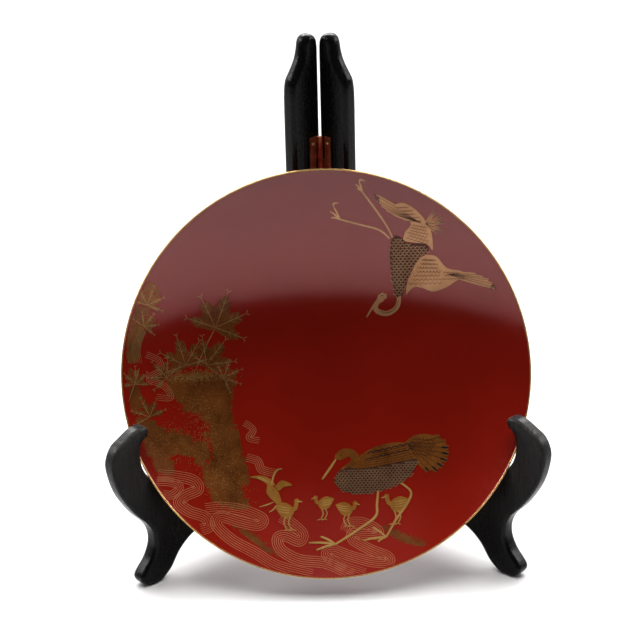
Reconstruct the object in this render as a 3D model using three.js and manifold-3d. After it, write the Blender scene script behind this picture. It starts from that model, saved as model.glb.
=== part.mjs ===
// A shallow lacquer sake cup standing on a folding two-leaf display stand.
// Millimetres, +Z up, the front of the stand faces -Y, the floor is z = 0.
// The two leaves open like a book about an upright hinge at the back.

import * as THREE from 'three';
import { mergeVertices } from 'three/addons/utils/BufferGeometryUtils.js';
import Module from 'manifold-3d';

// Driving dimensions

// Cup
const rimRadius = 60;
const cupHeight = 28.1;
const bowlDepth = 19;
const rimThickness = 1;
const wallThickness = 2.2;
const footRadius = 21;
const footFlare = 0.7;
const footThickness = 2.4;
const footHeight = 6.7;
const footFloorEdge = 1.2;
const footFloorMiddle = 0.8;
const cupLean = THREE.MathUtils.degToRad(21.5);
const cupLift = 62.55;
const cupTurns = 72;

// Stand
const leafAngle = THREE.MathUtils.degToRad(46);
const boardThickness = 5;
const edgeRound = 1.4;
const edgeSteps = 3;
const backEdge = -0.35;
const postWidth = 10.6;
const shoulderFoot = 138;
const backEdgeTop = 150;
const lipX = 73.5;
const lipY = 49.5;
const lipRadius = 1.9;
const finialX = 2.6;
const finialY = 151.8;
const finialRadius = 2.8;
const restGap = 0.3;

// Hinge
const hingeTop = 123.6;
const hingeHeight = 21;
const hingeReach = 4.9;
const plateCorner = 0.8;
const plateThickness = 0.5;
const plateGap = 0.3;
const pinSetBack = 1.4;
const knuckleRadius = 0.85;
const boreRadius = 0.55;
const pinRadius = 0.35;
const knuckleGap = 0.3;
const nailHeadRadius = 0.62;
const nailHeadHeight = 0.35;
const nailShankRadius = 0.3;
const nailShankLength = 3;
const nailInset = 1.8;
const nailHoleGap = 0.3;
const nailHeadGap = 0.1;
const nailForward = 0.25;
const knuckleSides = 20;
const boreSides = 16;
const pinSides = 12;
const nailSides = 12;
const drillSides = 10;

// Looks
const redLacquer = new THREE.MeshStandardMaterial({ color: 0x6e0d07, roughness: 0.15, metalness: 0 });
const blackLacquer = new THREE.MeshStandardMaterial({ color: 0x151312, roughness: 0.4, metalness: 0 });
const redBrass = new THREE.MeshStandardMaterial({ color: 0x6a2412, roughness: 0.4, metalness: 0.8 });

// Solid joining and cutting
const wasm = await Module();
wasm.setup();

function toSolid(geometry) {
  const bare = geometry.clone();
  bare.deleteAttribute('normal');
  bare.deleteAttribute('uv');
  const merged = mergeVertices(bare, 1e-4);
  return new wasm.Manifold(new wasm.Mesh({
    numProp: 3,
    vertProperties: new Float32Array(merged.attributes.position.array),
    triVerts: new Uint32Array(merged.index.array),
  }));
}

function toGeometry(solid) {
  const mesh = solid.getMesh();
  const geometry = new THREE.BufferGeometry();
  geometry.setAttribute('position', new THREE.BufferAttribute(new Float32Array(mesh.vertProperties), 3));
  geometry.setIndex(new THREE.BufferAttribute(new Uint32Array(mesh.triVerts), 1));
  geometry.computeVertexNormals();
  return geometry;
}

function namedMesh(name, geometry, material) {
  const mesh = new THREE.Mesh(geometry, material);
  mesh.name = name;
  return mesh;
}

// Cup: a turned bowl on a low foot ring. The rim plane is y = 0 and the foot is below it.
function arcPoints(radius, centreHeight, fromX, toX, steps) {
  const points = [];
  for (let i = 0; i <= steps; i += 1) {
    const x = fromX + (toX - fromX) * (i / steps);
    points.push(new THREE.Vector2(x, centreHeight - Math.sqrt(radius * radius - x * x)));
  }
  return points;
}

function bowlArc(edgeRadius, edgeHeight, bottomHeight) {
  const rise = edgeHeight - bottomHeight;
  const radius = (edgeRadius * edgeRadius + rise * rise) / (2 * rise);
  return { radius, centreHeight: bottomHeight + radius };
}

function makeCup() {
  const halfRim = rimThickness / 2;
  const innerEdge = rimRadius - rimThickness;
  const inner = bowlArc(innerEdge, -halfRim, -bowlDepth);
  const outer = bowlArc(rimRadius, -halfRim, -bowlDepth - wallThickness);
  const footTop = footRadius - footFlare;
  const footInner = footRadius - footThickness;
  const profile = [
    ...arcPoints(inner.radius, inner.centreHeight, 0, innerEdge, 9),
    new THREE.Vector2(rimRadius - halfRim * 1.5, -halfRim * 0.2),
    new THREE.Vector2(rimRadius - halfRim * 0.9, 0),
    new THREE.Vector2(rimRadius - halfRim * 0.3, -halfRim * 0.3),
    ...arcPoints(outer.radius, outer.centreHeight, rimRadius, footTop, 7),
    new THREE.Vector2(footTop + footFlare * 0.3, -cupHeight + footHeight * 0.4),
    new THREE.Vector2(footRadius, -cupHeight),
    new THREE.Vector2(footInner, -cupHeight),
    new THREE.Vector2(footInner - footFlare, -bowlDepth - wallThickness - footFloorEdge),
    new THREE.Vector2(0, -bowlDepth - wallThickness - footFloorMiddle),
  ];
  const geometry = new THREE.LatheGeometry(profile.reverse(), cupTurns);
  return namedMesh('cup', geometry, redLacquer);
}

// Leaf outline, seen from the side: x runs forward from the line where the inner faces meet, y is up.
function leafOutline() {
  const shape = new THREE.Shape();
  const through = (points) => shape.splineThru(points.map(([x, y]) => new THREE.Vector2(x, y)));

  // Back foot, the arch under the arm and the front foot
  shape.moveTo(backEdge, 0);
  shape.lineTo(10.5, 0);
  through([[13, 1.4], [16.5, 7.2], [24, 12.2], [36, 13.8], [48, 13], [56.4, 11.1], [61.8, 7.7],
    [65.8, 2.8], [69.6, 0]]);
  shape.lineTo(73, 0);

  // Toe, waist and the swelling front of the hook
  through([[75.8, 0.7], [77.5, 3.2], [76.2, 5.6], [73.4, 8.6], [71.5, 13.4], [72.9, 18.8], [78.6, 25.3],
    [83.4, 33], [85.6, 41], [84.9, 44.9], [83, 47.6], [80.7, 48.9]]);

  // Lip of the hook and the notch behind it
  through([[78.7, 49.9], [77, 50.7], [75.2, 51.3]]);
  shape.absarc(lipX, lipY, lipRadius, Math.PI * 0.5, Math.PI * 1.26, false);
  through([[74.4, 46.4], [75.1, 43.8], [75, 41], [73.9, 37.4], [71, 34.2], [66, 32.6]]);

  // Top of the arm, rising into the post
  through([[55, 30], [42, 28.2], [30, 29], [20.5, 33.6], [13.2, 42.5], [postWidth + 0.4, 53],
    [postWidth, 62]]);
  shape.lineTo(postWidth, shoulderFoot);

  // Shoulder and rounded finial
  through([[10.2, 141.6], [8.3, 144.7], [6.7, 147.4], [5.8, 150.2]]);
  shape.absarc(finialX, finialY, finialRadius, Math.PI * 0.06, Math.PI * 0.96, false);
  shape.lineTo(backEdge, backEdgeTop);
  shape.lineTo(backEdge, 0);
  return shape;
}

function makeBoard(side) {
  const geometry = new THREE.ExtrudeGeometry(leafOutline(), {
    depth: boardThickness - 2 * edgeRound,
    bevelEnabled: true,
    bevelThickness: edgeRound,
    bevelSize: edgeRound,
    bevelOffset: -edgeRound,
    bevelSegments: edgeSteps,
    curveSegments: 3,
  });
  const nearFace = side < 0 ? edgeRound : edgeRound - boardThickness;
  geometry.translate(0, 0, nearFace);
  return geometry;
}

// Hinge, in the same leaf coordinates. Depth is counted outward from the board's inner face.
const pinForward = pinSetBack / Math.sin(leafAngle);
const pinRun = pinForward * Math.cos(leafAngle);
const knuckleCount = 3;
const knuckleHeight = (hingeHeight - (knuckleCount - 1) * knuckleGap) / knuckleCount;
const nailRun = (pinRun + knuckleRadius + hingeReach) / 2 + nailForward;
const nailHeights = { upper: hingeTop - nailInset, lower: hingeTop - hingeHeight + nailInset };

function block(side, fromRun, toRun, fromHeight, toHeight, fromDepth, toDepth) {
  const geometry = new THREE.BoxGeometry(toRun - fromRun, toHeight - fromHeight, toDepth - fromDepth);
  geometry.translate((fromRun + toRun) / 2, (fromHeight + toHeight) / 2, -side * (fromDepth + toDepth) / 2);
  return geometry;
}

function roundedPlate(side, fromRun, toRun, fromHeight, toHeight, fromDepth, toDepth) {
  const shape = new THREE.Shape();
  shape.moveTo(fromRun, fromHeight);
  shape.lineTo(toRun - plateCorner, fromHeight);
  shape.absarc(toRun - plateCorner, fromHeight + plateCorner, plateCorner, -Math.PI / 2, 0, false);
  shape.lineTo(toRun, toHeight - plateCorner);
  shape.absarc(toRun - plateCorner, toHeight - plateCorner, plateCorner, 0, Math.PI / 2, false);
  shape.lineTo(fromRun, toHeight);
  const depth = toDepth - fromDepth;
  const geometry = new THREE.ExtrudeGeometry(shape, { depth, bevelEnabled: false, curveSegments: 3 });
  geometry.translate(0, 0, -side * (fromDepth + toDepth) / 2 - depth / 2);
  return geometry;
}

function upright(side, radius, fromHeight, toHeight, run, depth, sides) {
  const geometry = new THREE.CylinderGeometry(radius, radius, toHeight - fromHeight, sides);
  geometry.translate(run, (fromHeight + toHeight) / 2, -side * depth);
  return geometry;
}

function across(side, radius, height, fromDepth, toDepth, sides) {
  const geometry = new THREE.CylinderGeometry(radius, radius, toDepth - fromDepth, sides);
  geometry.rotateX(Math.PI / 2);
  geometry.translate(nailRun, height, -side * (fromDepth + toDepth) / 2);
  return geometry;
}

function makeHingeLeaf(side) {
  const plateBack = -plateGap;
  const plateFront = -plateGap - plateThickness;
  const bottom = hingeTop - hingeHeight;
  const clearOfKnuckle = pinRun + knuckleRadius + knuckleGap;
  const plate = roundedPlate(side, clearOfKnuckle, hingeReach, bottom, hingeTop, plateFront, plateBack);
  const bore = upright(side, boreRadius, bottom - 1, hingeTop + 1, pinRun, -pinSetBack, boreSides);
  let solid = toSolid(plate);
  for (let i = 0; i < knuckleCount; i += 1) {
    const mine = (i % 2 === 0) === (side < 0);
    if (mine) {
      const low = bottom + i * (knuckleHeight + knuckleGap);
      const high = low + knuckleHeight;
      solid = solid.add(toSolid(block(side, pinRun, clearOfKnuckle + 0.1, low, high, plateFront, plateBack)));
      const knuckle = upright(side, knuckleRadius, low, high, pinRun, -pinSetBack, knuckleSides);
      solid = solid.add(toSolid(knuckle));
    }
  }
  solid = solid.subtract(toSolid(bore));
  for (const height of Object.values(nailHeights)) {
    const holeRadius = nailShankRadius + nailHoleGap / 2;
    const hole = across(side, holeRadius, height, plateFront - 1, plateBack + 1, nailSides);
    solid = solid.subtract(toSolid(hole));
  }
  return toGeometry(solid);
}

function makeNail(side, height) {
  const plateFront = -plateGap - plateThickness;
  const profile = [
    new THREE.Vector2(0, -nailHeadHeight),
    new THREE.Vector2(nailHeadRadius * 0.6, -nailHeadHeight * 0.8),
    new THREE.Vector2(nailHeadRadius, 0),
    new THREE.Vector2(nailShankRadius, 0),
    new THREE.Vector2(nailShankRadius, nailShankLength),
    new THREE.Vector2(0, nailShankLength),
  ];
  const geometry = new THREE.LatheGeometry(profile, nailSides);
  geometry.rotateX(side > 0 ? -Math.PI / 2 : Math.PI / 2);
  geometry.translate(nailRun, height, -side * (plateFront - nailHeadGap));
  return geometry;
}

function drillForNails(side, geometry) {
  let solid = toSolid(geometry);
  for (const height of Object.values(nailHeights)) {
    const drill = across(side, nailShankRadius + nailHoleGap, height, -1, nailShankLength, drillSides);
    solid = solid.subtract(toSolid(drill));
  }
  return toGeometry(solid);
}

function makeLeaf(side) {
  const word = side < 0 ? 'left' : 'right';
  const flat = new THREE.Group();
  flat.rotation.x = Math.PI / 2;
  flat.add(namedMesh(`stand_leaf_${word}`, drillForNails(side, makeBoard(side)), blackLacquer));
  flat.add(namedMesh(`hinge_leaf_${word}`, makeHingeLeaf(side), redBrass));
  for (const [level, height] of Object.entries(nailHeights)) {
    flat.add(namedMesh(`hinge_nail_${word}_${level}`, makeNail(side, height), redBrass));
  }
  const turned = new THREE.Group();
  turned.rotation.z = side * leafAngle - Math.PI / 2;
  turned.add(flat);
  return turned;
}

function makePin() {
  const geometry = new THREE.CylinderGeometry(pinRadius, pinRadius, hingeHeight, pinSides);
  const pin = namedMesh('hinge_pin', geometry, redBrass);
  pin.rotation.x = Math.PI / 2;
  pin.position.set(0, -pinForward, hingeTop - hingeHeight / 2);
  return pin;
}

// The cup's foot ring rests against the rounded front corners of the two posts.
function cupForward() {
  const cornerRun = postWidth - edgeRound;
  const cornerX = cornerRun * Math.sin(leafAngle) + edgeRound * Math.cos(leafAngle);
  const cornerForward = cornerRun * Math.cos(leafAngle) - edgeRound * Math.sin(leafAngle) + edgeRound;
  const ringRise = Math.sqrt(footRadius * footRadius - cornerX * cornerX);
  return cornerForward + restGap + ringRise * Math.sin(cupLean) + cupHeight * Math.cos(cupLean);
}

const model = new THREE.Group();
model.name = 'sake_cup_on_stand';
model.add(makeLeaf(-1));
model.add(makeLeaf(1));
model.add(makePin());
const cup = makeCup();
cup.rotation.x = Math.PI - cupLean;
cup.position.set(0, -cupForward(), cupLift);
model.add(cup);

// The origin is the middle of the footprint, on the floor.
const extent = new THREE.Box3().setFromObject(model, true);
model.position.y = -(extent.min.y + extent.max.y) / 2;
model.position.z = -extent.min.z;

export default model;
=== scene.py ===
import math
import random

import bmesh
import bpy
from mathutils import Matrix, Vector
from mathutils.geometry import delaunay_2d_cdt


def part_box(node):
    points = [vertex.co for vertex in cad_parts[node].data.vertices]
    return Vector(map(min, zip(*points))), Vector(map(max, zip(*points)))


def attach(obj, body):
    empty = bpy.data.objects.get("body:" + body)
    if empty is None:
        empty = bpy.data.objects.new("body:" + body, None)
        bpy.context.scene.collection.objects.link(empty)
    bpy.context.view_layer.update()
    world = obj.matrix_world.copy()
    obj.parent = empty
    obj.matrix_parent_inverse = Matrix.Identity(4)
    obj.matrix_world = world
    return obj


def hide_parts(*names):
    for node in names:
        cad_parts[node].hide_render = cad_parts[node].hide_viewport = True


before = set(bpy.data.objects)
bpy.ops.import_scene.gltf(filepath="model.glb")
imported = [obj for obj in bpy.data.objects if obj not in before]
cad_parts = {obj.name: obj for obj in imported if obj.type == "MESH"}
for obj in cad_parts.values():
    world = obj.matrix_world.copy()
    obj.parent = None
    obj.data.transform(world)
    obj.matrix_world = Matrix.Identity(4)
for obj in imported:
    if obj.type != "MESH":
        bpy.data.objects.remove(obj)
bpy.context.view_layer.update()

# Sizes are in millimetres, and MM turns them into the frame's metres. They are the sizes of the solids,
# apart from a thinner rim and rounder finials.
MM = 0.001

# Cup
RIM_RADIUS = 60.0
CUP_HEIGHT = 28.1
BOWL_DEPTH = 19.0
RIM_THICKNESS = 0.5
RIM_STEPS = 9
WALL_THICKNESS = 2.2
FOOT_RADIUS = 21.0
FOOT_FLARE = 0.7
FOOT_THICKNESS = 2.4
FOOT_HEIGHT = 6.7
FOOT_EDGE = 0.5
FOOT_EDGE_OUT = 0.15
FOOT_EDGE_IN = 0.12
FOOT_FLOOR_EDGE = 1.5
FOOT_FLOOR_RING = 1.15
FOOT_FLOOR_MIDDLE = 0.8
FOOT_FILLET = 0.4
CUP_LEAN = math.radians(21.5)
CUP_LIFT = 62.55
CUP_TURNS = 240
CUP_SMOOTH = math.radians(50.0)
BOWL_STEPS = 46
OUTSIDE_STEPS = 34
# Width of a ring just inside the rim that keeps the shading smooth, and of the flat caps on the axis
RIM_SUPPORT = 0.1
AXIS_CAP = 0.4

# Stand
LEAF_ANGLE = math.radians(46.0)
BOARD_THICKNESS = 5.0
EDGE_ROUND = 1.4
TOP_ROUND = 2.35
TOP_ROUND_FROM = 134.0
TOP_ROUND_TO = 146.0
BOARD_SMOOTH = math.radians(40.0)
CORNER_SOFTENING = 0.6
CORNER_REACH = 4
CORNER_SHARE = 0.7
OUTLINE_STEP = 0.4
OUTLINE_JOIN = 1e-7
EDGE_STEPS = 7
CURVE_STEPS = 9
BACK_EDGE = -0.35
POST_WIDTH = 10.6
SHOULDER_FOOT = 138.0
BACK_EDGE_TOP = 150.0
LIP_X = 73.5
LIP_Y = 49.5
LIP_RADIUS = 1.9
FINIAL_X = 2.6
FINIAL_Y = 151.8
FINIAL_RADIUS = 2.8
REST_GAP = 0.3
PIN_SET_BACK = 1.4

# Camera
CAMERA_PLACE = Vector((-2.38, -540.69, 278.69))
CAMERA_RIGHT = Vector((0.999691, -0.010339, -0.022588))
CAMERA_UP = Vector((0.024782, 0.352121, 0.935626))
CAMERA_LENS = 110.1
CAMERA_SENSOR = 36.0

scene = bpy.context.scene
scene.view_settings.view_transform = "Standard"
scene.view_settings.look = "None"


# Small helpers for shader nodes

def new_material(name):
    material = bpy.data.materials.new(name)
    material.use_nodes = True
    tree = material.node_tree
    shader = tree.nodes["Principled BSDF"]
    return material, tree, shader


def add_node(tree, kind, **settings):
    node = tree.nodes.new(kind)
    for key, value in settings.items():
        setattr(node, key, value)
    return node


def object_coordinates(tree):
    return add_node(tree, "ShaderNodeTexCoord").outputs["Object"]


def noise_value(tree, coordinates, scale, detail=3.0, roughness=0.5):
    noise = add_node(tree, "ShaderNodeTexNoise")
    noise.inputs["Scale"].default_value = scale
    noise.inputs["Detail"].default_value = detail
    noise.inputs["Roughness"].default_value = roughness
    tree.links.new(coordinates, noise.inputs["Vector"])
    return noise.outputs["Fac"]


def colour_ramp(tree, factor, stops):
    ramp = add_node(tree, "ShaderNodeValToRGB")
    elements = ramp.color_ramp.elements
    elements[0].position = stops[0][0]
    elements[0].color = (*stops[0][1], 1.0)
    elements[1].position = stops[1][0]
    elements[1].color = (*stops[1][1], 1.0)
    for position, colour in stops[2:]:
        element = elements.new(position)
        element.color = (*colour, 1.0)
    tree.links.new(factor, ramp.inputs["Fac"])
    return ramp.outputs["Color"]


def map_range(tree, value, low, high, new_low, new_high):
    node = add_node(tree, "ShaderNodeMapRange")
    node.inputs["From Min"].default_value = low
    node.inputs["From Max"].default_value = high
    node.inputs["To Min"].default_value = new_low
    node.inputs["To Max"].default_value = new_high
    tree.links.new(value, node.inputs["Value"])
    return node.outputs["Result"]


def add_bump(tree, shader, height, strength, distance):
    bump = add_node(tree, "ShaderNodeBump")
    bump.inputs["Strength"].default_value = strength
    bump.inputs["Distance"].default_value = distance
    tree.links.new(height, bump.inputs["Height"])
    tree.links.new(bump.outputs["Normal"], shader.inputs["Normal"])


# Sockets of the mix node that carry colours
MIX_FIRST = 6
MIX_SECOND = 7
MIX_RESULT = 2


# Materials

LACQUER_RED = (0.23, 0.0078, 0.0027)
LACQUER_TINT = (1.0, 0.5, 0.49, 1.0)

# Painted light on the stand: how much of a lighter base colour it gets, from its feet up to a height in
# metres, strongest at the height of the hooks
NO_PAINTED_LIGHT = (0.0, 0.0, 0.0)
SOME_PAINTED_LIGHT = (0.1, 0.1, 0.1)
FULL_PAINTED_LIGHT = (1.0, 1.0, 1.0)
PAINTED_LIGHT_BY_HEIGHT = [(0.08, SOME_PAINTED_LIGHT), (0.32, FULL_PAINTED_LIGHT), (0.55, FULL_PAINTED_LIGHT), (1.0, NO_PAINTED_LIGHT)]
PAINTED_LIGHT_TOP = 0.1


def red_lacquer():
    material, tree, shader = new_material("red_lacquer")
    place = object_coordinates(tree)
    mottle = noise_value(tree, place, 38.0, 4.0)
    colour = colour_ramp(tree, mottle, [(0.3, (0.205, 0.007, 0.0024)), (0.7, (0.255, 0.0086, 0.003))])
    tree.links.new(colour, shader.inputs["Base Color"])
    haze = noise_value(tree, place, 900.0, 2.0)
    tree.links.new(map_range(tree, haze, 0.3, 0.7, 0.10, 0.16), shader.inputs["Roughness"])
    shader.inputs["IOR"].default_value = 1.52
    shader.inputs["Specular IOR Level"].default_value = 0.9
    shader.inputs["Specular Tint"].default_value = LACQUER_TINT
    add_bump(tree, shader, noise_value(tree, place, 60.0, 2.0), 0.03, 0.0004)
    return material


def gilt(name, dark, light, low_rough, high_rough):
    material, tree, shader = new_material(name)
    place = object_coordinates(tree)
    grain = noise_value(tree, place, 1500.0, 3.0, 0.6)
    tree.links.new(colour_ramp(tree, grain, [(0.35, dark), (0.65, light)]), shader.inputs["Base Color"])
    wear_and_painted_light = noise_value(tree, place, 220.0, 2.0)
    tree.links.new(map_range(tree, wear_and_painted_light, 0.3, 0.7, low_rough, high_rough), shader.inputs["Roughness"])
    shader.inputs["Metallic"].default_value = 1.0
    add_bump(tree, shader, grain, 0.2, 0.00005)
    return material


def black_lacquer():
    material, tree, shader = new_material("black_lacquer")
    place = object_coordinates(tree)
    stretch = add_node(tree, "ShaderNodeMapping")
    stretch.inputs["Scale"].default_value = (1.0, 1.0, 0.12)
    tree.links.new(place, stretch.inputs["Vector"])
    grain = noise_value(tree, stretch.outputs["Vector"], 1400.0, 4.0, 0.65)
    speck = noise_value(tree, place, 1500.0, 2.0, 0.6)
    polished = colour_ramp(tree, grain, [(0.3, (0.002, 0.0019, 0.0018)), (0.7, (0.0055, 0.0051, 0.0048))])
    # A lighter copy of the black base colour for the low part of the stand, mostly the hooks: painted light
    painted_lit = colour_ramp(tree, grain, [(0.3, (0.022, 0.021, 0.0203)), (0.7, (0.044, 0.0424, 0.0412))])
    split = add_node(tree, "ShaderNodeSeparateXYZ")
    tree.links.new(place, split.inputs["Vector"])
    height = map_range(tree, split.outputs["Z"], 0.0, PAINTED_LIGHT_TOP, 0.0, 1.0)
    painted_light_share = colour_ramp(tree, height, PAINTED_LIGHT_BY_HEIGHT)
    wear_and_painted_light = add_node(tree, "ShaderNodeMix", data_type="RGBA")
    tree.links.new(painted_light_share, wear_and_painted_light.inputs["Factor"])
    tree.links.new(polished, wear_and_painted_light.inputs[MIX_FIRST])
    tree.links.new(painted_lit, wear_and_painted_light.inputs[MIX_SECOND])
    tree.links.new(wear_and_painted_light.outputs[MIX_RESULT], shader.inputs["Base Color"])
    tree.links.new(map_range(tree, speck, 0.3, 0.7, 0.14, 0.3), shader.inputs["Roughness"])
    shader.inputs["IOR"].default_value = 1.45
    shader.inputs["Specular IOR Level"].default_value = 0.12
    relief = add_node(tree, "ShaderNodeMath", operation="ADD")
    tree.links.new(grain, relief.inputs[0])
    tree.links.new(speck, relief.inputs[1])
    add_bump(tree, shader, relief.outputs["Value"], 0.6, 0.00014)
    return material


def hinge_metal():
    material, tree, shader = new_material("hinge_metal")
    place = object_coordinates(tree)
    tarnish = noise_value(tree, place, 420.0, 4.0, 0.6)
    colour = colour_ramp(tree, tarnish, [(0.3, (0.16, 0.036, 0.014)), (0.7, (0.36, 0.1, 0.042))])
    tree.links.new(colour, shader.inputs["Base Color"])
    shader.inputs["Metallic"].default_value = 0.75
    tree.links.new(map_range(tree, tarnish, 0.3, 0.7, 0.3, 0.45), shader.inputs["Roughness"])
    add_bump(tree, shader, noise_value(tree, place, 2200.0, 2.0), 0.15, 0.00005)
    return material


def pale_floor():
    material, tree, shader = new_material("pale_floor")
    place = object_coordinates(tree)
    cloud = noise_value(tree, place, 3.0, 2.0)
    colour = colour_ramp(tree, cloud, [(0.3, (0.86, 0.855, 0.855)), (0.7, (0.88, 0.875, 0.875))])
    tree.links.new(colour, shader.inputs["Base Color"])
    shader.inputs["Roughness"].default_value = 0.7
    shader.inputs["Specular IOR Level"].default_value = 0.1
    return material


RED = red_lacquer()
BLACK = black_lacquer()
HINGE = hinge_metal()
NAIL = gilt("nail_brass", (0.5, 0.26, 0.12), (0.8, 0.46, 0.24), 0.25, 0.4)
RIM_GOLD = gilt("rim_gold", (0.48, 0.26, 0.08), (0.7, 0.44, 0.17), 0.25, 0.4)


# Mesh helpers

def mesh_object(name, vertices, faces, materials, smooth=True):
    mesh = bpy.data.meshes.new(name)
    mesh.from_pydata([tuple(v) for v in vertices], [], faces)
    for material in materials:
        mesh.materials.append(material)
    mesh.update()
    if smooth:
        mesh.polygons.foreach_set("use_smooth", [True] * len(mesh.polygons))
    obj = bpy.data.objects.new(name, mesh)
    bpy.context.collection.objects.link(obj)
    return obj


def ring_faces(rings, count):
    faces = []
    for i in range(rings - 1):
        for j in range(count):
            k = (j + 1) % count
            faces.append((i * count + j, i * count + k, (i + 1) * count + k, (i + 1) * count + j))
    return faces


def face_out(obj):
    work = bmesh.new()
    work.from_mesh(obj.data)
    bmesh.ops.recalc_face_normals(work, faces=work.faces)
    work.to_mesh(obj.data)
    work.free()


def smooth_by_angle(obj, angle):
    obj.data.set_sharp_from_angle(angle=angle)


# Cup: the turned profile of the solid, with finer steps and a thinner, rounded gilt rim

# The hinge pin of the frame gives the line where the two boards' inner faces meet.
pin_low, pin_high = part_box("hinge_pin")
PIN_Y = (pin_low[1] + pin_high[1]) / 2.0 / MM
MEETING_LINE_Y = PIN_Y + PIN_SET_BACK / math.sin(LEAF_ANGLE)


def cup_forward():
    corner = POST_WIDTH - EDGE_ROUND
    corner_x = corner * math.sin(LEAF_ANGLE) + EDGE_ROUND * math.cos(LEAF_ANGLE)
    corner_forward = corner * math.cos(LEAF_ANGLE) - EDGE_ROUND * math.sin(LEAF_ANGLE) + EDGE_ROUND
    ring_rise = math.sqrt(FOOT_RADIUS * FOOT_RADIUS - corner_x * corner_x)
    return corner_forward + REST_GAP + ring_rise * math.sin(CUP_LEAN) + CUP_HEIGHT * math.cos(CUP_LEAN)


CUP_CENTRE = Vector((0.0, MEETING_LINE_Y - cup_forward(), CUP_LIFT))
CUP_AXIS = Vector((0.0, -math.cos(CUP_LEAN), math.sin(CUP_LEAN)))
CUP_UP = Vector((0.0, math.sin(CUP_LEAN), math.cos(CUP_LEAN)))
CUP_RIGHT = Vector((1.0, 0.0, 0.0))


def cup_point(across, up, out):
    return (CUP_CENTRE + CUP_RIGHT * across + CUP_UP * up + CUP_AXIS * out) * MM


def bowl_arc(edge_radius, edge_height, bottom_height):
    rise = edge_height - bottom_height
    radius = (edge_radius * edge_radius + rise * rise) / (2.0 * rise)
    return radius, bottom_height + radius


INNER_EDGE = RIM_RADIUS - RIM_THICKNESS
INNER_RADIUS, INNER_CENTRE = bowl_arc(INNER_EDGE, -RIM_THICKNESS / 2.0, -BOWL_DEPTH)


def bowl_height(distance):
    return INNER_CENTRE - math.sqrt(INNER_RADIUS * INNER_RADIUS - distance * distance)


def arc_points(radius, centre_height, from_x, to_x, steps):
    points = []
    for i in range(steps + 1):
        x = from_x + (to_x - from_x) * i / steps
        points.append((x, centre_height - math.sqrt(radius * radius - x * x)))
    return points


def cup_profile():
    half_rim = RIM_THICKNESS / 2.0
    outer_radius, outer_centre = bowl_arc(RIM_RADIUS, -half_rim, -BOWL_DEPTH - WALL_THICKNESS)
    profile = arc_points(INNER_RADIUS, INNER_CENTRE, AXIS_CAP, INNER_EDGE - RIM_SUPPORT, BOWL_STEPS)
    profile += arc_points(INNER_RADIUS, INNER_CENTRE, INNER_EDGE - RIM_SUPPORT, INNER_EDGE, 1)[1:]
    gilt_from = len(profile) + 1
    for i in range(1, RIM_STEPS):
        turn = math.pi * (1.0 - i / RIM_STEPS)
        across = RIM_RADIUS - half_rim + half_rim * math.cos(turn)
        profile.append((across, -half_rim + half_rim * math.sin(turn)))
    gilt_to = len(profile)
    foot_top = FOOT_RADIUS - FOOT_FLARE
    profile += arc_points(outer_radius, outer_centre, RIM_RADIUS, foot_top, OUTSIDE_STEPS)
    base = -CUP_HEIGHT
    under = -BOWL_DEPTH - WALL_THICKNESS
    foot_inner = FOOT_RADIUS - FOOT_THICKNESS
    profile += [
        (foot_top + 0.05, base + FOOT_HEIGHT * 0.62),
        (foot_top + FOOT_FLARE * 0.3, base + FOOT_HEIGHT * 0.4),
        (FOOT_RADIUS - FOOT_EDGE_OUT, base + FOOT_HEIGHT * 0.1),
        (FOOT_RADIUS, base + FOOT_EDGE),
        (FOOT_RADIUS - FOOT_EDGE_OUT, base + FOOT_EDGE_IN),
        (FOOT_RADIUS - FOOT_EDGE, base),
        (foot_inner + FOOT_EDGE, base),
        (foot_inner + FOOT_EDGE_IN, base + FOOT_EDGE_IN),
        (foot_inner, base + FOOT_EDGE),
        (foot_inner - FOOT_FLARE, under - FOOT_FLOOR_EDGE),
        (foot_inner - FOOT_FLARE - FOOT_FILLET, under - FOOT_FLOOR_RING),
        (AXIS_CAP, under - FOOT_FLOOR_MIDDLE),
    ]
    return profile, gilt_from, gilt_to


def make_cup():
    profile, gilt_from, gilt_to = cup_profile()
    vertices = []
    for radius, height in profile:
        for j in range(CUP_TURNS):
            turn = 2.0 * math.pi * j / CUP_TURNS
            vertices.append(cup_point(radius * math.cos(turn), radius * math.sin(turn), height))
    faces = ring_faces(len(profile), CUP_TURNS)
    faces.append(tuple(reversed(range(CUP_TURNS))))
    last = (len(profile) - 1) * CUP_TURNS
    faces.append(tuple(range(last, last + CUP_TURNS)))
    cup = mesh_object("lacquer_cup", vertices, faces, [RED, RIM_GOLD])
    for i in range(gilt_from, gilt_to):
        for j in range(CUP_TURNS):
            cup.data.polygons[i * CUP_TURNS + j].material_index = 1
    face_out(cup)
    smooth_by_angle(cup, CUP_SMOOTH)
    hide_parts("cup")
    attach(cup, "root")


# Stand leaves: the sawn outline of the solids, with finer curves and rounder finials

def spline_points(points, steps):
    out = []
    last = len(points) - 1
    for i in range(last):
        a = points[max(i - 1, 0)]
        b = points[i]
        c = points[i + 1]
        d = points[min(i + 2, last)]
        for k in range(steps):
            t = k / steps
            out.append(tuple(
                0.5 * ((c[n] - a[n]) * t + 2.0 * b[n]
                       + (2.0 * a[n] - 5.0 * b[n] + 4.0 * c[n] - d[n]) * t * t
                       + (3.0 * b[n] - a[n] - 3.0 * c[n] + d[n]) * t * t * t)
                for n in range(2)))
    out.append(tuple(points[-1]))
    return out


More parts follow.
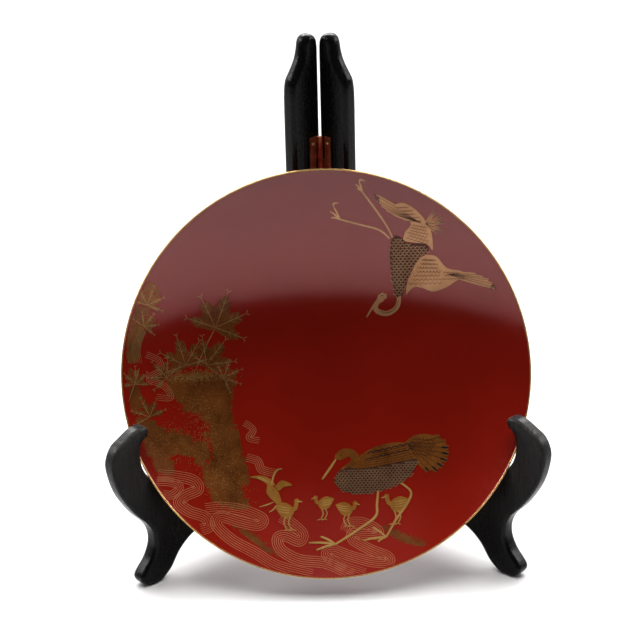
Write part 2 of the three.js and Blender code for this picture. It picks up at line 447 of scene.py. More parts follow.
def leaf_outline():
    outline = [(BACK_EDGE, 0.0), (10.5, 0.0)]

    def through(points):
        outline.extend(spline_points([outline[-1]] + points, CURVE_STEPS)[1:])

    def arc(x, y, radius, from_turn, to_turn):
        for i in range(CURVE_STEPS * 2 + 1):
            turn = math.pi * (from_turn + (to_turn - from_turn) * i / (CURVE_STEPS * 2))
            outline.append((x + radius * math.cos(turn), y + radius * math.sin(turn)))

    # Back foot, the arch under the arm and the front foot
    through([(13, 1.4), (16.5, 7.2), (24, 12.2), (36, 13.8), (48, 13), (56.4, 11.1), (61.8, 7.7),
             (65.8, 2.8), (69.6, 0)])
    outline.append((73.0, 0.0))

    # Toe, waist and the swelling front of the hook
    through([(75.8, 0.7), (77.5, 3.2), (76.2, 5.6), (73.4, 8.6), (71.5, 13.4), (72.9, 18.8), (78.6, 25.3),
             (83.4, 33), (85.6, 41), (84.9, 44.9), (83, 47.6), (80.7, 48.9)])

    # Lip of the hook and the notch behind it
    through([(78.7, 49.9), (77, 50.7), (75.2, 51.3)])
    arc(LIP_X, LIP_Y, LIP_RADIUS, 0.5, 1.26)
    through([(74.4, 46.4), (75.1, 43.8), (75, 41), (73.9, 37.4), (71, 34.2), (66, 32.6)])

    # Top of the arm, rising into the post
    through([(55, 30), (42, 28.2), (30, 29), (20.5, 33.6), (13.2, 42.5), (POST_WIDTH + 0.4, 53),
             (POST_WIDTH, 62)])
    outline.append((POST_WIDTH, SHOULDER_FOOT))

    # Shoulder and rounded finial
    through([(10.2, 141.6), (8.3, 144.7), (6.7, 147.4), (5.8, 150.2)])
    arc(FINIAL_X, FINIAL_Y, FINIAL_RADIUS, 0.06, 0.96)
    outline.append((BACK_EDGE, BACK_EDGE_TOP))
    return soften(outline)


def soften(outline):
    # Even steps along the outline. Each point takes the mean of its neighbours, which rounds corners.
    closed = [Vector(point) for point in outline] + [Vector(outline[0])]
    even = []
    for first, second in zip(closed, closed[1:]):
        pieces = max(1, round((second - first).length / OUTLINE_STEP))
        even += [first.lerp(second, i / pieces) for i in range(pieces)]
    reach = int(3.0 * CORNER_SOFTENING / OUTLINE_STEP)
    weights = [math.exp(-0.5 * (i * OUTLINE_STEP / CORNER_SOFTENING) ** 2) for i in range(-reach, reach + 1)]
    total = sum(weights)
    count = len(even)
    rounded = []
    for i in range(count):
        mean = Vector((0.0, 0.0))
        for k, weight in enumerate(weights):
            mean += even[(i + k - reach) % count] * (weight / total)
        rounded.append(mean)
    return rounded


def edge_round(place):
    # The rounded edge of a board, which grows toward the finial, but not along the back edge.
    part = (place.y - TOP_ROUND_FROM) / (TOP_ROUND_TO - TOP_ROUND_FROM)
    part = min(max(part, 0.0), 1.0)
    forward = min(max((place.x - BACK_EDGE) / (FINIAL_X - BACK_EDGE), 0.0), 1.0)
    return EDGE_ROUND + (TOP_ROUND - EDGE_ROUND) * forward * part * part * (3.0 - 2.0 * part)


def edge_limits(outline):
    # How far the rounded edge reaches in: less at a tight outer corner, so that it never folds.
    count = len(outline)
    limits = []
    for i in range(count):
        first = outline[i] - outline[i - 2]
        second = outline[(i + 2) % count] - outline[i]
        chord = outline[(i + 2) % count] - outline[i - 2]
        cross = first.x * second.y - first.y * second.x
        limit = edge_round(outline[i])
        if cross > 0.0:
            radius = first.length * second.length * chord.length / (2.0 * cross)
            limit = min(limit, CORNER_SHARE * radius)
        limits.append(limit)
    around = range(-CORNER_REACH, CORNER_REACH + 1)
    lowest = [min(limits[(i + k) % count] for k in around) for i in range(count)]
    return [sum(lowest[(i + k) % count] for k in around) / len(around) for i in range(count)]


def inset(outline, limits, part):
    moved = []
    count = len(outline)
    for i in range(count):
        along = (outline[(i + 1) % count] - outline[i - 1]).normalized()
        moved.append(outline[i] + Vector((-along.y, along.x)) * (part * limits[i]))
    return moved


def fill_triangles(points):
    count = len(points)
    edges = [(i, (i + 1) % count) for i in range(count)]
    result = delaunay_2d_cdt(points, edges, [], 1, OUTLINE_JOIN)
    source = []
    for place, origins in zip(result[0], result[3]):
        if origins:
            source.append(origins[0])
        else:
            source.append(min(range(count), key=lambda i: (points[i] - place).length))
    triangles = [tuple(source[i] for i in face) for face in result[2]]
    return [face for face in triangles if len(set(face)) == 3]


def leaf_point(side, run, depth, height):
    forward = run * math.cos(LEAF_ANGLE) - depth * math.sin(LEAF_ANGLE)
    across = run * math.sin(LEAF_ANGLE) + depth * math.cos(LEAF_ANGLE)
    return Vector((side * across, MEETING_LINE_Y - forward, height)) * MM


def make_leaf(side, word):
    outline = leaf_outline()
    limits = edge_limits(outline)
    count = len(outline)
    layers = []
    for i in range(EDGE_STEPS + 1):
        turn = 0.5 * math.pi * i / EDGE_STEPS
        layers.append((1.0 - math.sin(turn), 0.0, 1.0 - math.cos(turn)))
    layers += [(part, BOARD_THICKNESS, -fall) for part, _, fall in reversed(layers)]
    vertices = []
    for part, face, fall in layers:
        for place, (run, height) in zip(outline, inset(outline, limits, part)):
            depth = face + fall * edge_round(place)
            vertices.append(leaf_point(side, run, depth, height))
    faces = ring_faces(len(layers), count)
    last = (len(layers) - 1) * count
    for a, b, c in fill_triangles(inset(outline, limits, 1.0)):
        faces.append((c, b, a))
        faces.append((last + a, last + b, last + c))
    leaf = mesh_object("carved_leaf_" + word, vertices, faces, [BLACK])
    face_out(leaf)
    smooth_by_angle(leaf, BOARD_SMOOTH)
    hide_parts("stand_leaf_" + word)
    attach(leaf, "root")


# Picture on the inside of the bowl: cranes with chicks, a stream, rocks and lobed leaves, in gold.
# It is drawn on a flat sheet, x to the right and y down, and each point is then laid on the bowl.
SHEET_CENTRE = (864.0, 858.0)
SHEET_UNITS_PER_MM = 13.8

# In millimetres: from where the sheet is seen, the picture's rim, mesh steps and the rise of a layer
SHEET_VIEW_DISTANCE = 566.0
PICTURE_EDGE = 59.2
FILL_STEP = 0.85
LEAF_STEP = 1.2
ROCK_STEP = 2.4
LAYER_STEP = 0.018

# In sheet units: the usual width of a drawn line, of a line between feathers, and where points join
LINE_WIDTH = 3.6
FEATHER_LINE = 2.2
SHEET_JOIN = 1e-4

# The share of a stroke's swell left out at each end, the steps of curves and the sides of a dot
STROKE_END = 0.12
CLOSED_STEPS = 5
SHORT_STEPS = 3
DOT_SIDES = 6

# A scale's rim: its turns, its radius and the row height as shares of the spacing
SCALE_TURNS = (0.2, 1.57, 2.94)
SCALE_SIZE = 0.46
SCALE_ROW = 0.62

# One lobe of a leaf: turn as a share of the lobe's half, and reach as a share of the lobe's length
LOBE = ((-0.85, 0.64), (-0.45, 0.88), (-0.3, 0.82), (0.0, 1.0), (0.3, 0.82), (0.45, 0.88), (0.85, 0.64))

# Noise scales of the metal powder
FLAKE_SCALE = 3800.0
CLOUD_SCALE = 150.0
RAGGED_SCALE = 900.0


def lay_on_bowl(x, y, layer):
    across = (x - SHEET_CENTRE[0]) / SHEET_UNITS_PER_MM
    up = (SHEET_CENTRE[1] - y) / SHEET_UNITS_PER_MM
    distance = min(math.hypot(across, up), PICTURE_EDGE)
    grow = 1.0 - bowl_height(distance) / SHEET_VIEW_DISTANCE
    reach = math.hypot(across, up) * grow
    if reach > PICTURE_EDGE:
        grow *= PICTURE_EDGE / reach
    across *= grow
    up *= grow
    return cup_point(across, up, bowl_height(math.hypot(across, up)) + LAYER_STEP * layer)


def closed_curve(points):
    return spline_points(points + points[:1], CLOSED_STEPS)[:-1]


def toward(start, angle, reach):
    return (start[0] + reach * math.cos(angle), start[1] + reach * math.sin(angle))


class Ink:
    """Collects the strokes and filled areas of one material in one thin mesh on the bowl."""

    def __init__(self, name, material, layer):
        self.name = name
        self.material = material
        self.layer = layer
        self.vertices = []
        self.cover = []
        self.faces = []

    def put(self, x, y, cover):
        self.vertices.append(lay_on_bowl(x, y, self.layer))
        self.cover.append(cover)

    def stroke(self, points, width, taper=1.0, steps=6):
        line = spline_points(points, steps if len(points) > 2 else SHORT_STEPS)
        count = len(line)
        start = len(self.vertices)
        for i, (x, y) in enumerate(line):
            before = Vector(line[max(i - 1, 0)])
            after = Vector(line[min(i + 1, count - 1)])
            along = (after - before).normalized()
            part = STROKE_END + (1.0 - 2.0 * STROKE_END) * i / (count - 1)
            half = 0.5 * width * (1.0 - taper + taper * math.sin(math.pi * part))
            for sign in (-1.0, 1.0):
                self.put(x - sign * along.y * half, y + sign * along.x * half, 1.0)
        for i in range(count - 1):
            k = start + 2 * i
            self.faces.append((k, k + 1, k + 3, k + 2))

    def fill(self, points, curved=True, spacing=FILL_STEP):
        outline = closed_curve(points) if curved else points
        inner = []
        xs = [p[0] for p in outline]
        ys = [p[1] for p in outline]
        step = spacing * SHEET_UNITS_PER_MM
        rows = int((max(ys) - min(ys)) / step)
        columns = int((max(xs) - min(xs)) / step)
        for row in range(1, rows + 1):
            for column in range(1, columns + 1):
                place = (min(xs) + column * step, min(ys) + row * step)
                if inside(place, outline):
                    inner.append(place)
        count = len(outline)
        edges = [(i, (i + 1) % count) for i in range(count)]
        result = delaunay_2d_cdt([Vector(p) for p in outline + inner], edges, [], 1, SHEET_JOIN)
        start = len(self.vertices)
        for place, origins in zip(result[0], result[3]):
            self.put(place.x, place.y, 1.0 if origins and origins[0] >= count else 0.0)
        for face in result[2]:
            self.faces.append(tuple(start + i for i in face))

    def dot(self, x, y, size):
        start = len(self.vertices)
        for i in range(DOT_SIDES):
            self.put(*toward((x, y), 2.0 * math.pi * i / DOT_SIDES, size), 1.0)
        self.faces.append(tuple(range(start, start + DOT_SIDES)))

    def finish(self):
        piece = mesh_object(self.name, self.vertices, self.faces, [self.material])
        piece.data.attributes.new("cover", "FLOAT", "POINT").data.foreach_set("value", self.cover)
        turn_to_front(piece)
        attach(piece, "root")


def inside(place, outline):
    x, y = place
    hit = False
    for (ax, ay), (bx, by) in zip(outline, outline[1:] + outline[:1]):
        if (ay > y) != (by > y) and x < ax + (y - ay) * (bx - ax) / (by - ay):
            hit = not hit
    return hit


def turn_to_front(piece):
    work = bmesh.new()
    work.from_mesh(piece.data)
    for face in work.faces:
        face.normal_update()
        if face.normal.dot(CUP_AXIS) < 0.0:
            face.normal_flip()
    work.to_mesh(piece.data)
    work.free()


def powder(name, ground, flake, metal, soft=False):
    # Sprinkled metal powder. A soft area thins out into the red ground toward its outline.
    material, tree, shader = new_material(name)
    place = object_coordinates(tree)
    fine = noise_value(tree, place, FLAKE_SCALE, 2.0, 0.7)
    broad = noise_value(tree, place, CLOUD_SCALE, 4.0, 0.6)
    blend = add_node(tree, "ShaderNodeMath", operation="ADD")
    tree.links.new(broad, blend.inputs[0])
    tree.links.new(fine, blend.inputs[1])
    shade = map_range(tree, blend.outputs["Value"], 0.72, 1.28, 0.0, 1.0)
    colour = colour_ramp(tree, shade, [(0.0, ground), (1.0, flake)])
    rough = map_range(tree, fine, 0.3, 0.7, 0.15, 0.26)
    shader.inputs["Metallic"].default_value = metal
    shader.inputs["Specular IOR Level"].default_value = 0.55 if soft else 0.25
    shader.inputs["Specular Tint"].default_value = LACQUER_TINT
    if soft:
        cover = add_node(tree, "ShaderNodeAttribute", attribute_name="cover").outputs["Fac"]
        ragged = add_node(tree, "ShaderNodeMath", operation="MULTIPLY_ADD")
        tree.links.new(noise_value(tree, place, RAGGED_SCALE, 4.0, 0.75), ragged.inputs[0])
        ragged.inputs[1].default_value = 2.2
        tree.links.new(cover, ragged.inputs[2])
        amount = map_range(tree, ragged.outputs["Value"], 1.3, 1.75, 0.0, 1.0)
        mix = add_node(tree, "ShaderNodeMix", data_type="RGBA")
        tree.links.new(amount, mix.inputs["Factor"])
        mix.inputs[MIX_FIRST].default_value = (*LACQUER_RED, 1.0)
        tree.links.new(colour, mix.inputs[MIX_SECOND])
        colour = mix.outputs[MIX_RESULT]
        rough = map_range(tree, amount, 0.0, 1.0, 0.13, 0.2)
        tree.links.new(map_range(tree, amount, 0.0, 1.0, 0.0, metal), shader.inputs["Metallic"])
    tree.links.new(colour, shader.inputs["Base Color"])
    tree.links.new(rough, shader.inputs["Roughness"])
    return material


def fan(ink, root, tips, width, bend=0.12):
    for x, y in tips:
        middle_x = 0.5 * (root[0] + x) + bend * (y - root[1])
        middle_y = 0.5 * (root[1] + y) - bend * (x - root[0])
        ink.stroke([root, (middle_x, middle_y), (x, y)], width)


def scale_rows(ink, outline, spacing):
    curve = closed_curve(outline)
    xs = [p[0] for p in curve]
    ys = [p[1] for p in curve]
    row = 0
    y = min(ys)
    while y < max(ys):
        x = min(xs) + (0.5 * spacing if row % 2 else 0.0)
        while x < max(xs):
            if inside((x, y), curve):
                rim = [toward((x, y), turn, SCALE_SIZE * spacing) for turn in SCALE_TURNS]
                ink.stroke(rim, LINE_WIDTH, 0.4, 4)
            x += spacing
        y += SCALE_ROW * spacing
        row += 1


def lobed_leaf(body, vein, x, y, size, turn, lobes=5, spread=1.6):
    # A lobed leaf with its stalk end at x, y. Each lobe has a vein, side veins and a curled forked tip.
    outline = []
    stalk = (x, y)
    side = spread / (lobes - 1)
    for i in range(lobes):
        bend = 2.0 * i / (lobes - 1) - 1.0
        angle = turn + spread * bend
        reach = size * (1.0 - 0.2 * abs(bend))
        for offset, part in LOBE:
            outline.append(toward(stalk, angle + offset * side, part * reach))
        tip = toward(stalk, angle, reach)
        vein.stroke([stalk, toward(stalk, angle, 0.5 * reach), tip], 0.8 * LINE_WIDTH)
        for fork in (-0.6, 0.6):
            curl = toward(tip, angle + fork, 0.09 * size)
            end = toward(curl, angle + 0.5 * math.pi, 0.05 * size * fork)
            vein.stroke([tip, curl, end], 0.7 * LINE_WIDTH)
            for part in (0.45, 0.66):
                start = toward(stalk, angle, part * reach)
                vein.stroke([start, toward(start, angle + fork, 0.22 * reach)], 0.45 * LINE_WIDTH)
    outline.append(toward(stalk, turn, -0.1 * size))
    body.fill(outline, curved=False, spacing=LEAF_STEP)


def feathers(body, gap, root, tips, width):
    # Overlapping feathers from one root, with a thin dark line along each one
    for x, y in tips:
        middle = (0.5 * (root[0] + x), 0.5 * (root[1] + y))
        body.stroke([root, middle, (x, y)], width, 0.75)
        gap.stroke([root, middle, (x, y)], 2.0, 0.3)


def coverts(gap, first, last, rows, count, size):
    # Rows of small curved feather edges between two lines of points
    for row in range(rows):
        part = row / max(rows - 1, 1)
        for i in range(count):
            along = (i + 0.5 * (row % 2)) / count
            start_x = first[0][0] + along * (first[1][0] - first[0][0])
            start_y = first[0][1] + along * (first[1][1] - first[0][1])
            end_x = last[0][0] + along * (last[1][0] - last[0][0])
            end_y = last[0][1] + along * (last[1][1] - last[0][1])
            x = start_x + part * (end_x - start_x)
            y = start_y + part * (end_y - start_y)
            curve = [(x - size, y - 0.3 * size), (x, y + 0.5 * size), (x + size, y - 0.3 * size)]
            gap.stroke(curve, FEATHER_LINE, 0.3, SHORT_STEPS)


def stream(ink, points, lines, spacing):
    line = spline_points(points, 7)
    count = len(line)
    for k in range(lines):
        shift = (k - 0.5 * (lines - 1)) * spacing
        moved = []
        for i, (x, y) in enumerate(line):
            along = (Vector(line[min(i + 1, count - 1)]) - Vector(line[max(i - 1, 0)])).normalized()
            moved.append((x - along.y * shift, y + along.x * shift))
        ink.stroke(moved, 0.72 * LINE_WIDTH, 0.5, 2)


def grass(ink, points, count, height, chance):
    line = spline_points(points, 12)
    for i in range(count):
        x, y = line[int((len(line) - 1) * i / max(count - 1, 1))]
        for lean in (-0.5, 0.0, 0.5):
            tall = height * chance.uniform(0.6, 1.1)
            tip = (x + lean * tall, y - tall)
            ink.stroke([(x, y), (x + 0.4 * lean * tall, y - 0.6 * tall), tip], LINE_WIDTH)


def leg(ink, points, toes, width):
    ink.stroke(points, width, 0.35)
    foot = points[-1]
    for x, y in toes:
        ink.stroke([foot, (0.5 * (foot[0] + x), 0.5 * (foot[1] + y) - 3.0), (x, y)], 0.9 * width, 0.7)


def chick(body, line, x, y, size, facing, look):
    # A small bird: a drop-shaped body, a raised or lowered head, a short wing and two thin legs.
    def at(dx, dy):
        return (x + facing * dx * size, y + dy * size)

    head = at(0.52, -0.42 + 0.5 * look)
    body.fill([at(-0.55, -0.28), at(-0.1, -0.42), at(0.3, -0.2), at(0.36, 0.1), at(0.1, 0.34),
               at(-0.25, 0.22)])
    body.stroke([at(0.22, -0.05), at(0.44, -0.12 + 0.2 * look), head], 0.2 * size, 0.3)
    body.dot(*head, 0.13 * size)
    line.stroke([head, at(0.78, -0.36 + 0.75 * look)], 0.07 * size)
    for lift in (-0.16, -0.04, 0.08):
        line.stroke([at(0.18, lift), at(-0.12, lift - 0.03), at(-0.42, lift - 0.12)], 0.05 * size)
    for step in (-0.02, 0.2):
        knee = at(step - 0.1, 0.55)
        foot = at(step + 0.04, 0.86)
        line.stroke([at(step, 0.25), knee, foot], 0.06 * size, 0.3)
        for reach in (-0.14, 0.16, 0.22):
            line.stroke([foot, (foot[0] + facing * reach * size, foot[1] + 0.06 * size)], 0.05 * size)


def flying_crane(tan, dark, scale, gap, black):
    far_tips = [(1084, 146), (1088, 166), (1104, 186), (1124, 204), (1148, 220), (1176, 232)]
    feathers(tan, gap, (1262, 262), far_tips, 19.0)
    tan.fill([(1186, 334), (1198, 296), (1222, 264), (1186, 232), (1150, 196), (1190, 178), (1240, 206),
              (1282, 256), (1304, 306), (1306, 372), (1286, 350), (1228, 340)])
    coverts(gap, ((1206, 320), (1294, 350)), ((1226, 268), (1286, 280)), 6, 6, 7.0)
    coverts(gap, ((1214, 252), (1270, 252)), ((1172, 196), (1216, 196)), 5, 5, 7.0)
    near_tips = [(1554, 530), (1544, 514), (1528, 498), (1506, 486), (1478, 474)]
    feathers(tan, gap, (1360, 470), near_tips, 17.0)
    tan.fill([(1194, 552), (1202, 498), (1228, 436), (1268, 396), (1318, 398), (1362, 446), (1424, 462),
              (1440, 492), (1404, 496), (1362, 522), (1306, 540), (1258, 524), (1226, 522)])
    coverts(gap, ((1216, 506), (1350, 506)), ((1268, 410), (1320, 414)), 7, 7, 8.0)
    coverts(gap, ((1352, 490), (1440, 490)), ((1352, 462), (1420, 470)), 3, 6, 6.0)
    body = [(1152, 562), (1140, 480), (1134, 400), (1142, 328), (1168, 312), (1210, 342), (1272, 346),
            (1290, 372), (1252, 408), (1226, 446), (1202, 496), (1182, 548)]
    dark.fill(body)
    scale_rows(scale, body, 17.0)
    fan(black, (1096, 158), [(1074, 140), (1076, 158), (1092, 178)], 4.0, 0.0)
    fan(black, (1540, 520), [(1560, 536), (1552, 520), (1536, 540)], 4.0, 0.0)
    tail_tips = [(1318, 216), (1346, 236), (1354, 262), (1348, 292), (1328, 304)]
    feathers(tan, gap, (1280, 266), tail_tips, 13.0)
    for x, y in tail_tips:
        black.stroke([(1280 + 0.72 * (x - 1280), 266 + 0.72 * (y - 266)), (x, y)], 5.0)
    neck = [(1168, 552), (1158, 598), (1122, 624), (1088, 620), (1070, 602), (1080, 578), (1102, 566)]
    tan.stroke(neck, 21.0, 0.4)
    tan.fill([(1076, 568), (1082, 550), (1100, 540), (1118, 549), (1116, 564), (1096, 573)], curved=False)
    gap.stroke([(1164, 572), (1148, 606), (1116, 622), (1086, 614)], 2.4)
    tan.stroke([(1080, 566), (1058, 600), (1034, 638)], 8.0, 0.85)
    black.dot(1098, 553, 3.0)
    leg(tan, [(1146, 318), (1122, 268), (1078, 200), (1030, 132)],
        [(1016, 88), (1002, 98), (1008, 116)], 7.5)
    leg(tan, [(1134, 322), (1092, 286), (1012, 262), (936, 240)],
        [(910, 186), (896, 206), (900, 232)], 7.5)
    fan(tan, (1016, 88), [(1028, 78), (1040, 88)], 5.0, 0.3)
    fan(tan, (910, 186), [(918, 170), (932, 174)], 5.0, 0.3)


def standing_crane(gold, dark, scale, gap, black, limb):
    tips = [(1318, 1126), (1340, 1146), (1350, 1170), (1350, 1196), (1342, 1222), (1326, 1246),
            (1302, 1262), (1268, 1264)]
    feathers(gold, gap, (1186, 1158), tips, 34.0)
    for x, y in tips[2:]:
        black.stroke([(1186 + 0.82 * (x - 1186), 1158 + 0.82 * (y - 1158)), (x, y)], 8.0, 0.9)
    gold.fill([(1170, 1150), (1210, 1120), (1262, 1114), (1310, 1130), (1322, 1170), (1300, 1214),
               (1256, 1222), (1208, 1200)])
    coverts(gap, ((1200, 1190), (1290, 1200)), ((1214, 1130), (1300, 1140)), 5, 6, 9.0)
    body = [(886, 1294), (902, 1260), (940, 1242), (1000, 1246), (1090, 1236), (1170, 1220), (1222, 1214),
            (1206, 1262), (1160, 1304), (1090, 1332), (1010, 1346), (948, 1342), (906, 1324)]
    dark.fill(body)
    scale_rows(scale, body, 15.0)
    gold.fill([(974, 1240), (988, 1200), (1042, 1166), (1118, 1146), (1190, 1150), (1232, 1176),
               (1222, 1212), (1170, 1226), (1090, 1240), (1010, 1258)])
    for i in range(7):
        low = 1246 - 10 * i
        quill = [(996 + 8 * i, low), (1090 + 4 * i, low - 12), (1206 - 4 * i, low - 34 + i)]
        gap.stroke(quill, FEATHER_LINE, 0.3)
    for i in range(8):
        for row_x, row_y, width in ((1020, 1190, 4.0), (1012, 1216, 3.0)):
            x = row_x + 24 * i
            y = row_y - 5 * i
            black.stroke([(x, y), (x + 16, y - 10), (x + 30, y - 6)], width)
    neck = [(900, 1292), (926, 1256), (960, 1232), (974, 1208), (960, 1186), (930, 1180), (908, 1188)]
    gold.stroke(neck, 34.0, 0.45)
    gold.fill([(890, 1204), (894, 1186), (918, 1174), (944, 1180), (940, 1200), (914, 1212)], curved=False)
    gap.stroke([(906, 1284), (936, 1252), (972, 1226)], 2.4)
    limb.stroke([(896, 1206), (868, 1246), (838, 1286)], 10.0, 0.85)
    black.dot(918, 1190, 3.0)
    leg(limb, [(1062, 1338), (1056, 1390), (1048, 1440), (972, 1494), (886, 1546)],
        [(778, 1538), (826, 1514), (808, 1568)], 9.5)
    leg(limb, [(1156, 1308), (1194, 1344), (1178, 1390), (1134, 1450), (1090, 1522)],
        [(998, 1534), (1036, 1482), (1056, 1540)], 9.0)


def small_flier(body, line):
    body.fill([(618, 1300), (650, 1316), (668, 1352), (672, 1392), (640, 1368), (614, 1336)])
    body.fill([(622, 1306), (590, 1282), (548, 1270), (590, 1264), (628, 1278), (648, 1304)])
    body.fill([(648, 1310), (676, 1286), (718, 1306), (684, 1312), (664, 1326)])
    line.stroke([(634, 1304), (642, 1270), (658, 1244), (678, 1240)], 8.0, 0.6)
    for reach in (0, 14, 28):
        line.stroke([(624 + 0.4 * reach, 1292), (590, 1272 + 0.3 * reach), (556 + reach, 1268)], 3.2)
    line.stroke([(640, 1372), (612, 1382), (582, 1390)], 5.0)
    line.stroke([(652, 1384), (640, 1400), (622, 1412)], 5.0)


def rock_and_leaves(dust, vein, speck, chance):
    high_rock = [(204, 866), (244, 842), (330, 828), (420, 838), (502, 858), (500, 930), (492, 1000),
                 (512, 1090), (536, 1190), (552, 1290), (526, 1326), (548, 1388), (484, 1402), (404, 1380),
                 (370, 1318), (352, 1230), (396, 1150), (352, 1094), (378, 1060), (316, 1010), (284, 1016),
                 (262, 962), (214, 930)]
    low_rock = [(74, 1010), (140, 1004), (206, 1058), (284, 1070), (330, 1104), (380, 1120), (404, 1180),
                (380, 1262), (318, 1206), (250, 1176), (244, 1262), (176, 1244), (124, 1160)]
    dust.fill(high_rock, spacing=ROCK_STEP)
    dust.fill(low_rock, spacing=ROCK_STEP)
    dust.fill([(66, 806), (112, 842), (120, 920), (164, 1000), (140, 1040), (84, 1010), (64, 920)])
    for x, y, size, turn in ((424, 664, 148, -1.2), (300, 814, 124, -1.85), (384, 814, 126, -0.9),
                             (222, 860, 84, -2.3), (452, 866, 78, -0.4), (150, 1016, 82, -2.0)):
        lobed_leaf(dust, vein, x, y, size, turn)
    vein.stroke([(342, 830), (372, 760), (424, 664)], LINE_WIDTH)
    for _ in range(900):
        x = chance.gauss(335, 62)
        y = chance.gauss(858, 13)
        speck.dot(x, y, chance.uniform(0.9, 2.0))
    for _ in range(1500):
        part = chance.random()
        x = 330 + 150 * part + chance.gauss(0, 46)
        y = 930 + 430 * part + chance.gauss(0, 50)
        speck.dot(x, y, chance.uniform(0.7, 1.6))
    for _ in range(500):
        speck.dot(chance.gauss(250, 80), chance.gauss(1120, 45), chance.uniform(0.7, 1.5))


def edge_foliage(body, vein):
    body.fill([(166, 462), (196, 500), (204, 552), (160, 596), (186, 626), (150, 672), (124, 724),
               (112, 786), (66, 800), (60, 720), (92, 600), (130, 500)])
    for x, y, size, turn in ((150, 566, 78, -1.2), (136, 652, 62, -0.9), (98, 884, 70, -1.6)):
        lobed_leaf(body, vein, x, y, size, turn)
    for i in range(5):
        stem = [(96 + 7 * i, 800), (84 + 8 * i, 740), (104 + 7 * i, 690), (120 + 6 * i, 650)]
        vein.stroke(stem, 0.6 * LINE_WIDTH)
    vein.stroke([(66, 950), (92, 880), (112, 820)], LINE_WIDTH)


def water(ink, dust, chance):
    stream(ink, [(176, 1250), (250, 1258), (318, 1276), (338, 1312), (286, 1336), (258, 1364), (300, 1400),
                 (362, 1424), (378, 1462), (344, 1474)], 6, 8.5)
    stream(ink, [(196, 1330), (236, 1330), (262, 1300), (226, 1280), (170, 1276)], 5, 8.0)
    stream(ink, [(364, 1392), (440, 1388), (530, 1406), (594, 1438), (574, 1462), (500, 1446), (426, 1424),
                 (408, 1458), (470, 1520), (560, 1572), (650, 1628), (790, 1668)], 6, 8.5)
    stream(ink, [(668, 1430), (716, 1464), (754, 1504), (738, 1530), (684, 1508), (652, 1520), (668, 1566),
                 (740, 1606), (846, 1622), (950, 1672)], 6, 8.5)
    stream(ink, [(924, 1496), (944, 1466), (990, 1462), (1044, 1486), (1058, 1508), (1000, 1510),
                 (954, 1506), (960, 1534), (1030, 1574), (1092, 1600), (1096, 1622), (1030, 1620),
                 (940, 1594), (874, 1570), (848, 1588), (900, 1630), (1000, 1668)], 6, 8.0)
    stream(ink, [(530, 1050), (566, 1080), (548, 1112), (590, 1124)], 4, 7.5)
    stream(ink, [(536, 1190), (580, 1206), (596, 1240), (650, 1256)], 5, 7.5)
    stream(ink, [(140, 764), (192, 790), (196, 830), (150, 862), (214, 896), (236, 940), (180, 938)], 4, 7.5)
    dust.fill([(478, 1470), (520, 1476), (572, 1506), (612, 1552), (652, 1590), (604, 1572), (548, 1530)])
    dust.fill([(1082, 1490), (1130, 1496), (1190, 1524), (1246, 1566), (1180, 1556), (1120, 1530)])
    grass(dust, [(480, 1478), (540, 1504), (596, 1552), (652, 1594)], 15, 26, chance)
    grass(dust, [(1084, 1500), (1150, 1520), (1244, 1566)], 13, 26, chance)


def new_ink(piece, look, layer, ground, flake, metal, soft=False):
    return Ink("picture_" + piece, powder(look, ground, flake, metal, soft), layer)


def draw_picture():
    chance = random.Random(7)
    dust = new_ink("rock_and_leaves", "brown_gold", 1, (0.06, 0.016, 0.003), (0.2, 0.062, 0.012), 0.1, True)
    edge = new_ink("edge_foliage", "edge_gold", 2, (0.11, 0.036, 0.008), (0.27, 0.1, 0.026), 0.25, True)
    copper = new_ink("stream", "copper_line", 3, (0.36, 0.095, 0.04), (0.52, 0.18, 0.085), 0.2)
    speck = new_ink("gold_dust", "dust_flakes", 3, (0.2, 0.09, 0.02), (0.42, 0.22, 0.065), 0.3)
    tan = new_ink("flying_wings", "wing_gold", 5, (0.4, 0.19, 0.085), (0.6, 0.32, 0.16), 0.35)
    gold = new_ink("standing_wings", "dark_gold", 5, (0.09, 0.026, 0.004), (0.26, 0.09, 0.017), 0.2)
    dark = new_ink("plumage", "dark_plumage", 7, (0.024, 0.01, 0.005), (0.08, 0.042, 0.026), 0.1)
    scale = new_ink("scales", "scale_edges", 8, (0.14, 0.07, 0.034), (0.27, 0.15, 0.08), 0.2)
    rims = new_ink("brown_scales", "brown_scale_edges", 8, (0.24, 0.12, 0.055), (0.42, 0.24, 0.12), 0.3)
    gap = new_ink("feather_lines", "brown_lines", 8, (0.03, 0.01, 0.005), (0.07, 0.026, 0.012), 0.0)
    vein = new_ink("fine_lines", "line_gold", 9, (0.3, 0.15, 0.05), (0.58, 0.33, 0.13), 0.5)
    black = new_ink("dark_tips", "dark_tips", 10, (0.008, 0.006, 0.006), (0.022, 0.018, 0.018), 0.0)
    limb = new_ink("legs", "leg_gold", 12, (0.36, 0.18, 0.045), (0.6, 0.36, 0.11), 0.35)
    young = new_ink("chicks", "chick_gold", 11, (0.22, 0.085, 0.012), (0.44, 0.2, 0.04), 0.3)
    rock_and_leaves(dust, vein, speck, chance)
    edge_foliage(edge, vein)
    water(copper, dust, chance)
    flying_crane(tan, dark, rims, gap, black)
    standing_crane(gold, dark, scale, gap, black, limb)
    small_flier(young, limb)
    for x, y, size, facing, look in ((690, 1410, 84, 1, -0.1), (846, 1384, 70, -1, 0.1),
                                     (930, 1410, 74, 1, 0.15), (1140, 1396, 84, -1, 0.0)):
        chick(young, limb, x, y, size, facing, look)
    for ink in (dust, edge, copper, speck, tan, gold, dark, scale, rims, gap, vein, black, young, limb):
        ink.finish()


# Hinge: the solids keep their shape and get a worn metal finish

def dress_hinge():
    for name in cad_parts:
        if name.startswith("hinge_"):
            node = bpy.data.objects[name]
            node.data.materials.clear()
            node.data.materials.append(NAIL if "nail" in name else HINGE)


# Floor, light and camera

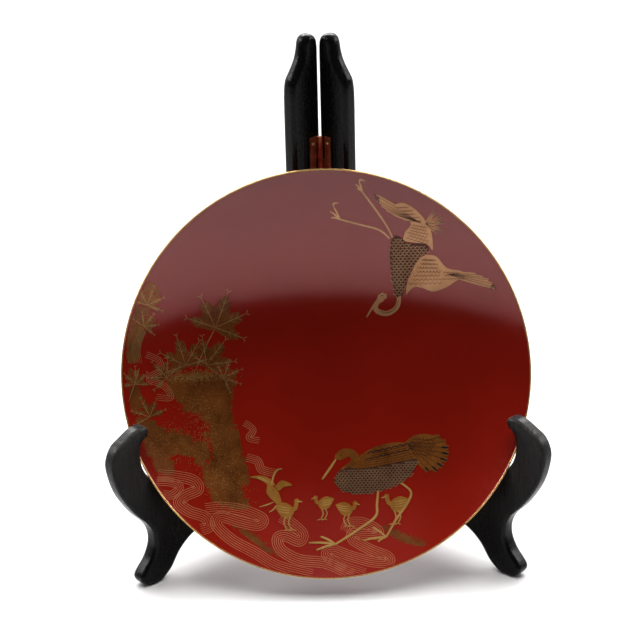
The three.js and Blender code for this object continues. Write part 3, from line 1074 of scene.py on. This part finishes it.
def make_floor():
    # In metres. The bowl's upper half mirrors the floor, up to the front edge.
    half_width = 3.0
    front = -1.3
    back = 3.0
    vertices = [(-half_width, front, 0.0), (half_width, front, 0.0), (half_width, back, 0.0),
                (-half_width, back, 0.0)]
    floor = mesh_object("floor", vertices, [(0, 1, 2, 3)], [pale_floor()], smooth=False)
    floor.visible_diffuse = False


def area_light(name, place, target, width, length, power, in_diffuse, in_gloss):
    data = bpy.data.lights.new(name, "AREA")
    data.shape = "RECTANGLE"
    data.size = width
    data.size_y = length
    data.energy = power
    light = bpy.data.objects.new(name, data)
    light.location = place
    light.rotation_euler = (Vector(target) - Vector(place)).to_track_quat("-Z", "Y").to_euler()
    light.visible_diffuse = in_diffuse
    light.visible_glossy = in_gloss
    light.visible_camera = False
    bpy.context.collection.objects.link(light)


def make_world():
    # A room that is bright behind the part and dark in front. The camera itself sees a pale surround.
    world = bpy.data.worlds.new("studio")
    world.use_nodes = True
    tree = world.node_tree
    tree.nodes.clear()
    out = add_node(tree, "ShaderNodeOutputWorld")
    place = add_node(tree, "ShaderNodeTexCoord").outputs["Generated"]
    split = add_node(tree, "ShaderNodeSeparateXYZ")
    tree.links.new(place, split.inputs["Vector"])
    behind = map_range(tree, split.outputs["Y"], -0.04, 0.3, 0.02, 1.95)
    above = map_range(tree, split.outputs["Z"], 0.975, 1.0, 0.0, 0.4)
    most = add_node(tree, "ShaderNodeMath", operation="MAXIMUM")
    tree.links.new(behind, most.inputs[0])
    tree.links.new(above, most.inputs[1])
    over_floor = map_range(tree, split.outputs["Z"], -0.02, 0.0, 0.0, 1.0)
    upper = add_node(tree, "ShaderNodeMath", operation="MULTIPLY")
    tree.links.new(most.outputs["Value"], upper.inputs[0])
    tree.links.new(over_floor, upper.inputs[1])
    room = add_node(tree, "ShaderNodeBackground")
    tree.links.new(upper.outputs["Value"], room.inputs["Strength"])
    room.inputs["Color"].default_value = (1.0, 0.99, 0.985, 1.0)
    pale = add_node(tree, "ShaderNodeBackground")
    pale.inputs["Color"].default_value = (0.97, 0.965, 0.97, 1.0)
    pale.inputs["Strength"].default_value = 1.0
    path = add_node(tree, "ShaderNodeLightPath")
    mix = add_node(tree, "ShaderNodeMixShader")
    tree.links.new(path.outputs["Is Camera Ray"], mix.inputs["Fac"])
    tree.links.new(room.outputs["Background"], mix.inputs[1])
    tree.links.new(pale.outputs["Background"], mix.inputs[2])
    tree.links.new(mix.outputs["Shader"], out.inputs["Surface"])
    scene.world = world


def make_camera():
    data = bpy.data.cameras.new("camera")
    data.sensor_width = CAMERA_SENSOR
    data.sensor_fit = "HORIZONTAL"
    data.lens = CAMERA_LENS
    data.clip_start = 0.01
    data.clip_end = 20.0
    camera = bpy.data.objects.new("camera", data)
    right = CAMERA_RIGHT.normalized()
    up = CAMERA_UP.normalized()
    back = right.cross(up)
    turn = Matrix((right, up, back)).transposed().to_4x4()
    camera.matrix_world = Matrix.Translation(CAMERA_PLACE * MM) @ turn
    bpy.context.collection.objects.link(camera)
    scene.camera = camera


make_camera()
make_world()
make_floor()

# Lights: place, target, width and length in metres, power in watts, seen in diffuse and in glossy surfaces
area_light("overhead", (0.0, -0.1, 0.85), (0.0, 0.0, 0.0), 0.7, 0.7, 8.6, True, False)
area_light("back_top", (0.0, 0.75, 1.0), (0.0, 0.0, 0.06), 1.2, 0.5, 7.0, True, True)
area_light("sheen", (0.0, 0.7, 0.85), (0.0, 0.0, 0.1), 1.0, 0.35, 22.0, False, True)
for name, across in (("side_left", -0.9), ("side_right", 0.9)):
    area_light(name, (across, 0.05, 0.65), (0.0, 0.0, 0.1), 0.4, 0.4, 7.0, False, True)

make_cup()
draw_picture()
make_leaf(-1, "left")
make_leaf(1, "right")
dress_hinge()
